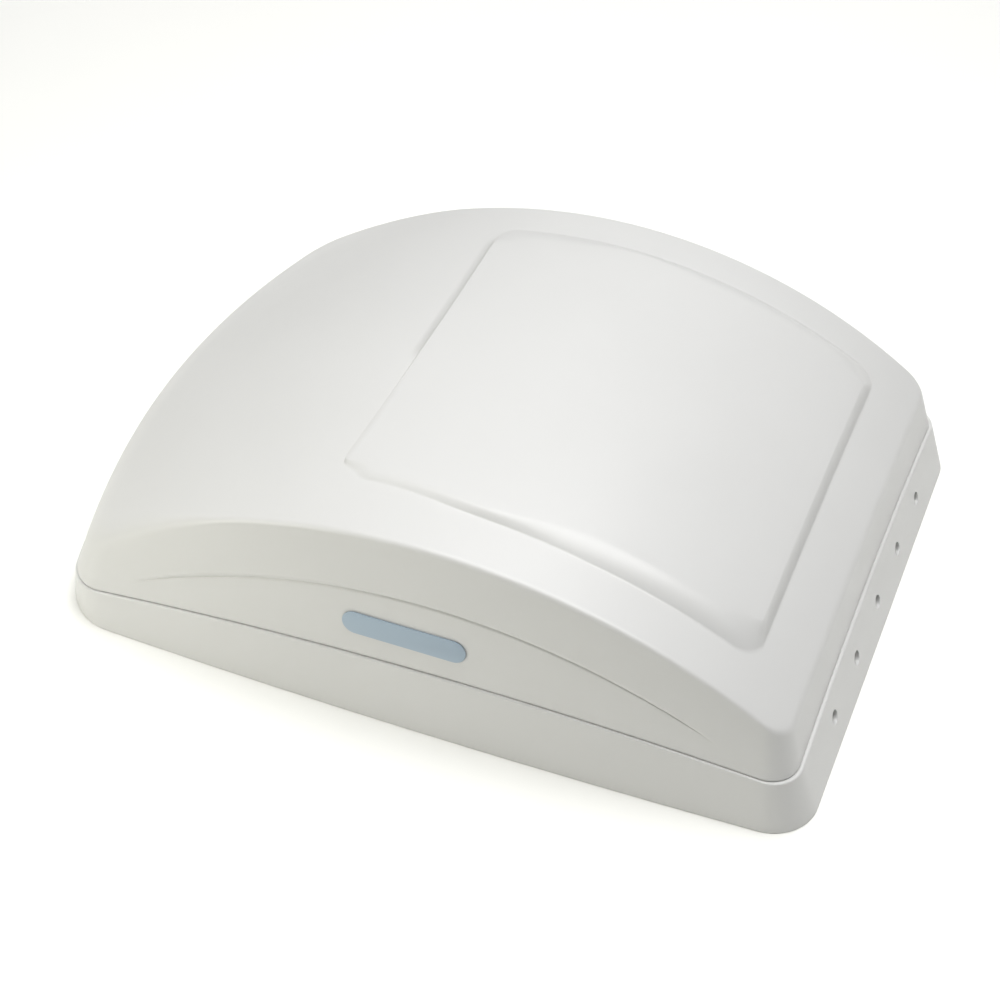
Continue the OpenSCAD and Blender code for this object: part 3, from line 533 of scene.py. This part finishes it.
def wall_rings(top, bottom):
    """The lid's wall, with a groove and a shallow recess under it along a curved line on the long sides."""
    x = bottom[:, 0]
    line = RECESS_TOP - RECESS_BEND * (x - RECESS_X) ** 2
    height = top[:, 2] - bottom[:, 2]
    line_share = np.clip((top[:, 2] - line) / height, *RECESS_LINE_SHARES)
    on_side = ramp(np.abs(bottom[:, 1]), *RECESS_SIDE_STARTS)
    from_middle = np.abs(x - RECESS_X / 2)
    shown = on_side * ramp(from_middle, RECESS_HALF_LENGTH, RECESS_HALF_LENGTH - RECESS_FADE)
    depth = RECESS_DEPTH * shown
    below_line = height * (1 - line_share)
    made = []
    for share in grade(0.0, 1.0, 12)[1:-1]:
        made.append(wall_ring(top, bottom, line_share * share, 0))
    for share in grade(-1.0, 1.0, 8):
        offset = share * RECESS_STEP
        inward = depth * smooth((share + 1) / 2) + GROOVE_DEPTH * shown * (1 - share**2)
        made.append(wall_ring(top, bottom, line_share + offset / height, inward))
    rest = 1 - line_share - RECESS_STEP / height
    for share in grade(0.0, 1.0, 22)[1:]:
        distance = share * rest * height
        inward = depth * (1 - smooth(distance / np.minimum(RECESS_RETURN, below_line)))
        at = line_share + RECESS_STEP / height + share * (rest - LID_EDGE_R / height)
        made.append(wall_ring(top, bottom, at, inward))
    for angle in grade(0, 90, 4)[1:]:
        turn = math.radians(angle)
        lift = LID_EDGE_R * (1 - math.sin(turn))
        made.append(wall_ring(top, bottom, 1 - lift / height, LID_EDGE_R * (1 - math.cos(turn))))
    return made


def wall_ring(top, bottom, share, inward):
    """Ring at a share of the way down the wall, pushed in from its face."""
    points = blend(top, bottom, np.reshape(share, (-1, 1)))
    return points - edge_normals(bottom) * np.reshape(inward, (-1, 1))


def edge_normals(points):
    """Level unit vectors that point out of a closed outline."""
    along = np.roll(points, -1, axis=0) - np.roll(points, 1, axis=0)
    normals = np.stack([along[:, 1], -along[:, 0], np.zeros(len(points))], axis=1)
    return normals / np.linalg.norm(normals, axis=1)[:, None]


def lid_inside():
    """Rings from the lid's lower edge up inside the wall and in under the skin to the panel's middle."""
    edge = seam_ring(LEDGE + WALL)
    lip = at_heights(edge, SEAM + edge_gap(edge))
    wall_top = lid_ring(WALL)
    turn_in = wall_top - edge_normals(wall_top)[:, :2] * crease_radius(wall_top)[:, None]
    upper = on_crown(wall_top, -SKIN - crease_radius(wall_top))
    made = [blend(lip, upper, share) for share in grade(0.0, 1.0, 8)]
    made += curve(upper, on_crown(wall_top, -SKIN), on_crown(turn_in, -SKIN), grade(0.0, 1.0, 6)[1:])
    foot = panel_outline(SKIN)
    for share in grade(0.0, 1.0, 12)[1:]:
        made.append(on_crown(blend(turn_in, foot, share), -SKIN))
    inner = panel_outline(SKIN + BAND_INSIDE)
    for share in grade(0.0, 1.0, 6)[1:]:
        flat = blend(foot, inner, share)
        made.append(on_crown(flat, panel_rise(flat) * (1 - (1 - share) ** 2) - SKIN))
    for share in grade(1.0, PANEL_FIRST_SHARE, 14)[1:]:
        flat = blend(PANEL_CENTRE, inner, share)
        made.append(on_crown(flat, panel_rise(flat) - SKIN))
    return made


finished_piece(lid_shell(), "shell_white", "lid_shell")


# ---- Base skirt ----
HOLE_R = 5 * MM
HOLE_PITCH = 57.5 * MM
HOLE_Z = 23 * MM
HOLES_EACH_SIDE = 2
FOOT_R = 0.9 * MM
SKIRT_FOOT = 2.6 * MM
SHOULDER_DROP = 1.2 * MM
SHOULDER_SHARE = 0.6
GUTTER = 0.4 * MM
GUTTER_SLOPE = 0.8 * MM
CURB_CHAMFER = np.array([0.5, 0.4]) * MM


def base_skirt():
    """Rings up the outer face, over the shoulder and the ledge, down inside the curb and back to the foot."""
    foot = at_heights(outline(0.0), 0.0)
    shoulder = at_seam(0.0)
    wall = shoulder - foot
    height = wall[:, 2:]
    rings = []
    for share in grade(0.0, 1.0, 3):
        turn = math.pi / 2 * share
        lift = FOOT_R * (1 - math.cos(turn))
        inset = FOOT_R * (1 - math.sin(turn))
        rings.append(foot + wall * (lift / height) - edge_normals(foot) * inset)
    low = rings[-1]
    high = foot + wall * (1 - SHOULDER_DROP / height)
    rings += [blend(low, high, share) for share in grade(0.0, 1.0, 10)[1:-1]]
    rings += curve(high, shoulder, at_seam(LEDGE * SHOULDER_SHARE), grade(0.0, 1.0, 8))
    rings.append(at_seam(LEDGE))
    rings.append(at_seam(LEDGE + GUTTER_SLOPE, GUTTER))
    rings.append(at_seam(CURB_IN - CURB_CHAMFER[0], GUTTER))
    rings.append(at_seam(CURB_IN, GUTTER + CURB_CHAMFER[1]))
    rings += [at_heights(seam_ring(inset), DECK_TOP) for inset in (CURB_IN, CURB_OUT)]
    rings += [at_seam(inset, WALL + GUTTER) for inset in (CURB_OUT, SKIRT_FOOT)]
    rings.append(at_heights(outline(SKIRT_FOOT), 0.0))
    return loop_object("base_skirt_shell", rings)


def cutter_object(work):
    """Turns a bmesh into an object that cut() takes and removes."""
    mesh = bpy.data.meshes.new("cutter")
    work.to_mesh(mesh)
    work.free()
    cutter = bpy.data.objects.new("cutter", mesh)
    bpy.context.scene.collection.objects.link(cutter)
    return cutter


def bar_cutter(centre, radius, length, steps=48):
    """A round bar along X."""
    work = bmesh.new()
    turn = Matrix.Rotation(math.pi / 2, 4, "Y")
    bmesh.ops.create_cone(work, cap_ends=True, segments=steps, radius1=radius, radius2=radius,
                          depth=length, matrix=Matrix.Translation(centre) @ turn)
    return cutter_object(work)


def box_cutter(size, centre):
    work = bmesh.new()
    place = Matrix.Translation(centre) @ Matrix.Diagonal((*size, 1.0))
    bmesh.ops.create_cube(work, size=1.0, matrix=place)
    return cutter_object(work)


skirt = base_skirt()
end_wall_x = skirt_high.x - FLARE[1] / 2
cut(skirt, [bar_cutter((end_wall_x, k * HOLE_PITCH, HOLE_Z), HOLE_R, FLARE[1] + 1 * MM)
            for k in range(-HOLES_EACH_SIDE, HOLES_EACH_SIDE + 1)])
sharpen(skirt)
finished_piece(skirt, "shell_white", "base_skirt")


# ---- Lid seal ----
SEAL_W = 1.7 * MM
SEAL_RISE = 0.8 * MM
SEAL_OUT = 0.1 * MM
SEAL_NECK = 0.55


def lid_seal():
    """A bulb strip on the curb, inside the lid's edge."""
    inner = seam_ring(CURB_IN - SEAL_OUT)
    outer = seam_ring(CURB_IN - SEAL_OUT - SEAL_W)
    top = SEAM + edge_gap(inner) + SEAL_RISE
    bulb = np.minimum(top - SEAM, SEAL_W) / 2
    middle = (inner + outer) / 2
    half = (outer - inner) / 2
    rings = []
    for turn in np.linspace(0, math.pi, 9):
        rings.append(at_heights(middle + half * math.cos(turn), top - bulb + bulb * math.sin(turn)))
    for side in (-1, -SEAL_NECK, SEAL_NECK, 1):
        rings.append(at_heights(middle + half * side, SEAM))
    return loop_object("lid_seal_bulb", rings)


finished_piece(lid_seal(), "lip_rubber", "lid_seal")


# ---- Fan rotor ----
BLADES = 10
BLADE_STATIONS = 12
ROOT_PITCH = math.radians(36)
TIP_PITCH = math.radians(24)
BLADE_THICKNESS = 2.2 * MM
BLADE_CAMBER = 2.4 * MM
BLADE_SWEEP = 0.06
ROOT_HALF_CHORD = 13 * MM
TIP_HALF_CHORD = 25 * MM
TIP_ROUNDING = 0.1
SECTION_POINTS = 20
HUB_R = 40 * MM
HUB_INNER_R = 36 * MM
HUB_SKIN = 4 * MM
HUB_EDGE_R = 5 * MM
HUB_POINTS = 96
BLADE_ROOT_R = HUB_R - 1.5 * MM
BLADE_TIP_R = 150 * MM
SHAFT_R = 4 * MM
BOSS_HEIGHT_SHARE = 0.55
BOSS_TIP_R = SHAFT_R + 4 * MM
BOSS_ROOT_R = SHAFT_R + 5 * MM
BOSS_TOP_R = SHAFT_R + 6 * MM
HUB_CHAMFER = 1 * MM


def lathe(profile, centre, steps=HUB_POINTS):
    """Rings of a turned part about an upright axis; the profile lists radius and height."""
    turn = np.linspace(0, 2 * math.pi, steps, endpoint=False)
    circle = np.stack([np.cos(turn), np.sin(turn)], axis=1)
    return [np.column_stack([circle * r + np.array(centre[:2]), np.full(steps, z)]) for r, z in profile]


def blade(angle, centre):
    """A twisted, slightly hollow blade as rings of its section from hub to tip."""
    rings = []
    for share in grade(0.0, 1.0, BLADE_STATIONS):
        past = max(0.0, (share - 1 + TIP_ROUNDING) / TIP_ROUNDING)
        rounded = math.sqrt(max(0.04, 1 - past**2))
        chord = blend(ROOT_HALF_CHORD, TIP_HALF_CHORD, smooth(share)) * rounded
        pitch = blend(ROOT_PITCH, TIP_PITCH, share)
        turn = np.linspace(0, 2 * math.pi, SECTION_POINTS, endpoint=False)
        along = chord * np.cos(turn)
        thick = BLADE_THICKNESS / 2 * np.sin(turn) + BLADE_CAMBER * (1 - np.cos(turn) ** 2) * share
        radial = np.full(SECTION_POINTS, blend(BLADE_ROOT_R, BLADE_TIP_R, share))
        tangent = along * math.cos(pitch) - thick * math.sin(pitch)
        lift = along * math.sin(pitch) + thick * math.cos(pitch)
        swept = angle + BLADE_SWEEP * (share - 0.5)
        x = radial * math.cos(swept) - tangent * math.sin(swept)
        y = radial * math.sin(swept) + tangent * math.cos(swept)
        rings.append(np.stack([x, y, lift], axis=1) + centre)
    return rings


def capped_tube(rings):
    """Points and faces of a tube whose two ends are closed."""
    count = len(rings[0])
    faces = ring_faces(count, len(rings), False)
    faces.append(tuple(range(count)))
    faces.append(tuple(reversed(range(count * (len(rings) - 1), count * len(rings)))))
    return np.concatenate(rings), faces


def joined(parts):
    """Joins lists of points and faces into one."""
    points, faces, start = [], [], 0
    for part_points, part_faces in parts:
        points.append(part_points)
        faces += [tuple(start + i for i in face) for face in part_faces]
        start += len(part_points)
    return np.concatenate(points), faces


def fan_rotor():
    """A cup-shaped hub with a boss for the shaft, and the blades round it."""
    low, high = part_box("fan_rotor")
    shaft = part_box("motor_shaft")
    centre = np.array([(shaft[0].x + shaft[1].x) / 2, 0.0, 0.0])
    top, bottom = high.z, low.z
    boss_z = blend(bottom, top, BOSS_HEIGHT_SHARE)
    edge = [(HUB_R - HUB_EDGE_R * (1 - math.sin(a)), top - HUB_EDGE_R * (1 - math.cos(a)))
            for a in np.linspace(0, math.pi / 2, 7)]
    outside = [(SHAFT_R, boss_z), (SHAFT_R, top), (BOSS_TOP_R, top), *edge,
               (HUB_R, bottom + HUB_CHAMFER), (HUB_R - HUB_CHAMFER, bottom)]
    inside = [(HUB_INNER_R, bottom), (HUB_INNER_R, top - HUB_SKIN),
              (BOSS_ROOT_R, top - HUB_SKIN), (BOSS_TIP_R, boss_z)]
    hub = lathe(outside + inside, centre)
    parts = [(np.concatenate(hub), ring_faces(HUB_POINTS, len(hub), True))]
    middle = centre + np.array([0, 0, (top + bottom) / 2])
    parts += [capped_tube(blade(2 * math.pi * k / BLADES, middle)) for k in range(BLADES)]
    return mesh_object("fan_rotor_moulded", *joined(parts))


rotor = fan_rotor()
sharpen(rotor, 40)
finished_piece(rotor, "moulded_white", "fan_rotor")


# ---- Insect mesh ----
WIRE_PITCH = 2.2 * MM
WIRE_R = 0.17 * MM
WIRE_SIDES = 6
WIRE_LEVEL = 0.8 * WIRE_R

# Free rings round the knobs, and circles round the turn buttons
KNOB_CLEAR = {"crank_knob": 8.5 * MM, "speed_knob": 10.5 * MM}
BUTTONS = 4
BUTTON_CIRCLE_R = 170 * MM
BUTTON_CLEAR_R = 16 * MM


def insect_mesh():
    """Two layers of fine wire that leave the knobs and the turn buttons free."""
    low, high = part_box("insect_mesh")
    middle = (low + high) / 2
    clear = []
    for node, margin in KNOB_CLEAR.items():
        first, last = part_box(node)
        clear.append((((first + last) / 2).xy, (last.x - first.x) / 2 + margin))
    for k in range(BUTTONS):
        turn = 2 * math.pi * k / BUTTONS
        clear.append((middle.xy + BUTTON_CIRCLE_R * Vector((math.cos(turn), math.sin(turn))), BUTTON_CLEAR_R))
    half = (high.x - low.x) / 2
    count = int(half / WIRE_PITCH)
    parts = []
    for across in (0, 1):
        for k in range(-count, count + 1):
            offset = k * WIRE_PITCH
            for first, last in free_spans(offset, across, middle, half, clear):
                parts.append(wire(offset, first, last, across, middle))
    return mesh_object("insect_mesh_woven", *joined(parts))


def free_spans(offset, across, middle, half, clear):
    """The stretches of one wire that no clearance circle covers."""
    edges = [-half, half]
    for place, radius in clear:
        local = place - middle.xy
        aside, along = local[1 - across], local[across]
        reach = radius**2 - (offset - aside) ** 2
        if reach > 0:
            edges += [along - math.sqrt(reach), along + math.sqrt(reach)]
    edges = sorted(edges)
    spans = []
    for first, last in zip(edges[:-1], edges[1:]):
        centre = (first + last) / 2
        shown = abs(centre) < half and not covered(offset, centre, across, middle, clear)
        if shown and last - first > WIRE_PITCH:
            spans.append((first, last))
    return spans


def covered(offset, along, across, middle, clear):
    """Whether a point of a wire lies in a clearance circle."""
    spot = Vector((along, offset)) if across == 0 else Vector((offset, along))
    return any((middle.xy + spot - place).length < radius for place, radius in clear)


def wire(offset, first, last, across, middle):
    """One straight wire, along X or, when across is 1, along Y in the upper layer."""
    turn = np.linspace(0, 2 * math.pi, WIRE_SIDES, endpoint=False)
    level = middle.z + (WIRE_LEVEL if across else -WIRE_LEVEL)
    rings = []
    for end in (first, last):
        sideways = offset + WIRE_R * np.cos(turn)
        upward = level + WIRE_R * np.sin(turn)
        lengthways = np.full(WIRE_SIDES, end)
        x, y = (sideways, lengthways) if across else (lengthways, sideways)
        rings.append(np.stack([x + middle.x, y + middle.y, upward], axis=1))
    return capped_tube(rings)


finished_piece(insect_mesh(), "mesh_wire", "insect_mesh")


# ---- Screws ----
SHANK_R = 2 * MM
SHANK_POINT = 1.5 * MM
HEAD_RIM_SHARE = 0.25
CROSS_LENGTH_SHARE = 1.1
CROSS_WIDTH_SHARE = 0.2
CROSS_DEPTH_SHARE = 1.4


def loose_parts(node):
    """Points of every separate part of a CAD node, always in the same order."""
    work = bmesh.new()
    work.from_mesh(frame["nodes"][node].data)
    bmesh.ops.remove_doubles(work, verts=work.verts, dist=1e-6)
    waiting, parts = set(work.verts), []
    while waiting:
        group, reached = [], [waiting.pop()]
        while reached:
            vertex = reached.pop()
            group.append(vertex.co.copy())
            for edge in vertex.link_edges:
                other = edge.other_vert(vertex)
                if other in waiting:
                    waiting.remove(other)
                    reached.append(other)
        parts.append(np.array(group))
    work.free()
    return sorted(parts, key=lambda part: tuple(np.round(part.mean(axis=0), 5)))


def screw(part):
    """A domed head with a cross recess on a plain shank, in place of one CAD screw."""
    low, high = part.min(axis=0), part.max(axis=0)
    centre = (low + high) / 2
    head_r = (high[0] - low[0]) / 2
    wide = part[np.hypot(part[:, 0] - centre[0], part[:, 1] - centre[1]) > head_r * 0.9]
    head_up = wide[:, 2].mean() > centre[2]
    head_t = np.ptp(wide[:, 2])
    length = high[2] - low[2] - head_t
    dome = [(head_r * math.sin(a), head_t * blend(HEAD_RIM_SHARE, 1, math.cos(a)))
            for a in np.linspace(0.30, math.pi / 2, 7)]
    shank = [(head_r, 0.0), (SHANK_R, 0.0), (SHANK_R, SHANK_POINT - length), (SHANK_R * 0.3, -length)]
    piece = mesh_object("screw", *capped_tube(lathe(dome + shank, (0, 0), 40)))
    long, narrow, deep = head_r * CROSS_LENGTH_SHARE, head_r * CROSS_WIDTH_SHARE, head_t * CROSS_DEPTH_SHARE
    cut(piece, [box_cutter(size, (0, 0, head_t)) for size in ((long, narrow, deep), (narrow, long, deep))])
    points = np.array([v.co for v in piece.data.vertices])
    faces = [tuple(p.vertices) for p in piece.data.polygons]
    bpy.data.objects.remove(piece)
    if not head_up:
        points[:, 1:] *= -1
    seat = high[2] - head_t if head_up else low[2] + head_t
    return points + np.array([centre[0], centre[1], seat]), faces


for node in ("lid_screws", "base_screws", "deck_screws", "bracket_screws", "motor_screws"):
    screws = mesh_object(node + "_cross", *joined([screw(part) for part in loose_parts(node)]))
    sharpen(screws, 35)
    finished_piece(screws, "screw_steel", node)


# ---- CAD nodes that keep their shape: softened edges and a finish ----
def softened(node, radius):
    """A copy of a CAD node with small rounded edges, which stands for the node."""
    source = frame["nodes"][node]
    mesh = source.data.copy()
    mesh.name = node + "_moulded"
    work = bmesh.new()
    work.from_mesh(mesh)
    bmesh.ops.remove_doubles(work, verts=work.verts, dist=1e-6)
    bmesh.ops.dissolve_limit(work, angle_limit=math.radians(0.5), verts=work.verts, edges=work.edges)
    work.to_mesh(mesh)
    work.free()
    piece = bpy.data.objects.new(mesh.name, mesh)
    bpy.context.scene.collection.objects.link(piece)
    bevel = piece.modifiers.new("bevel", "BEVEL")
    bevel.width = radius
    bevel.segments = 2
    bevel.limit_method = "ANGLE"
    bevel.angle_limit = math.radians(30)
    apply_modifiers(piece)
    sharpen(piece, 40)
    return piece


# Radius in millimetres for each node
SOFT_EDGES = {
    "lid_track_left": 0.4, "lid_track_right": 0.4, "hinge_block": 0.6,
    "base_deck": 0.3, "roof_flange": 0.2, "flange_seal": 0.4, "hinge_bracket": 0.3,
    "shaft_bearing_left": 0.6, "shaft_bearing_right": 0.6, "worm_bracket": 0.5, "fan_duct": 0.3,
    "fan_motor": 0.6, "screen_frame": 0.5, "switch_housing": 0.8,
    "lift_arm_left": 0.5, "lift_arm_right": 0.5,
    "turn_button_1": 0.6, "turn_button_2": 0.6, "turn_button_3": 0.6, "turn_button_4": 0.6,
    "speed_knob": 0.8, "lid_badge": 0.35, "fan_nut": 0.3, "worm_wheel": 0.15,
}


def cad_slot(node):
    return frame["nodes"][node].data.materials[0].name.split(".")[0]


for node, soft_edge in SOFT_EDGES.items():
    finished_piece(softened(node, soft_edge * MM), cad_slot(node), node)

# The nodes that nothing stands for keep their CAD shape and get a finish
for node, cad_object in frame["nodes"].items():
    if not cad_object.hide_render:
        cad_object.data.materials[0] = finishes[cad_slot(node)]


# ---- Floor, light and camera ----
FLOOR_HALF = 6.0
OBJECT_MIDDLE = (0.0, 0.0, 0.05)


def soft_light(name, place, side, power, target=OBJECT_MIDDLE, colour=(1.0, 1.0, 1.0), glare=1.0):
    """A square soft box that faces its target."""
    light = bpy.data.lights.new(name, "AREA")
    light.size = side
    light.energy = power
    light.color = colour
    light.specular_factor = glare
    lamp = bpy.data.objects.new(name, light)
    lamp.location = place
    lamp.rotation_euler = (Vector(target) - Vector(place)).to_track_quat("-Z", "Y").to_euler()
    bpy.context.scene.collection.objects.link(lamp)


def studio():
    corners = [(sx * FLOOR_HALF, sy * FLOOR_HALF, 0) for sx, sy in ((-1, -1), (1, -1), (1, 1), (-1, 1))]
    floor = mesh_object("floor", corners, [(0, 1, 2, 3)])
    paper = Shader("floor_paper")
    tone = paper.ranged(paper.noise(3.0), 0.0, 1.0)
    paper.send(paper.mixed(tone, (0.97, 0.97, 0.94, 1), (0.99, 0.99, 0.96, 1)), "Base Color")
    paper.surface.inputs["Roughness"].default_value = 0.9
    floor.data.materials.append(paper.material)
    world = bpy.data.worlds.new("studio")
    world.use_nodes = True
    sky = world.node_tree.nodes["Background"].inputs
    sky["Color"].default_value = (1.0, 1.0, 1.0, 1)
    sky["Strength"].default_value = 0.05
    bpy.context.scene.world = world
    soft_light("overhead", (0.18, 0.2, 2.1), 1.8, 46)
    soft_light("right", (0.6, -0.1, 2.0), 1.2, 9)
    soft_light("backdrop", (-1.0, 1.5, 1.8), 1.5, 7, target=(-1.0, 1.5, 0.0), glare=0.0)
    soft_light("low_left", (-0.75, -0.95, 0.35), 0.5, 5, target=(-0.1, 0.0, 0.05), colour=(1.0, 0.99, 0.88))


# The photo's viewpoint
AZIMUTH = math.radians(21.9)
ELEVATION = math.radians(42.64)
DISTANCE = 1.4977
LOOK_AT = Vector((-3.6 * MM, 0.0, 22 * MM))
LENS = 72.94


def camera():
    data = bpy.data.cameras.new("camera")
    data.lens = LENS
    data.sensor_width = 36
    data.clip_start = 0.05
    level = math.cos(ELEVATION)
    back = Vector((math.sin(AZIMUTH) * level, -math.cos(AZIMUTH) * level, math.sin(ELEVATION)))
    made = bpy.data.objects.new("camera", data)
    made.location = LOOK_AT + back * DISTANCE
    made.rotation_euler = back.to_track_quat("Z", "Y").to_euler()
    bpy.context.scene.collection.objects.link(made)
    bpy.context.scene.camera = made


studio()
camera()
bpy.context.scene.view_settings.view_transform = "Standard"
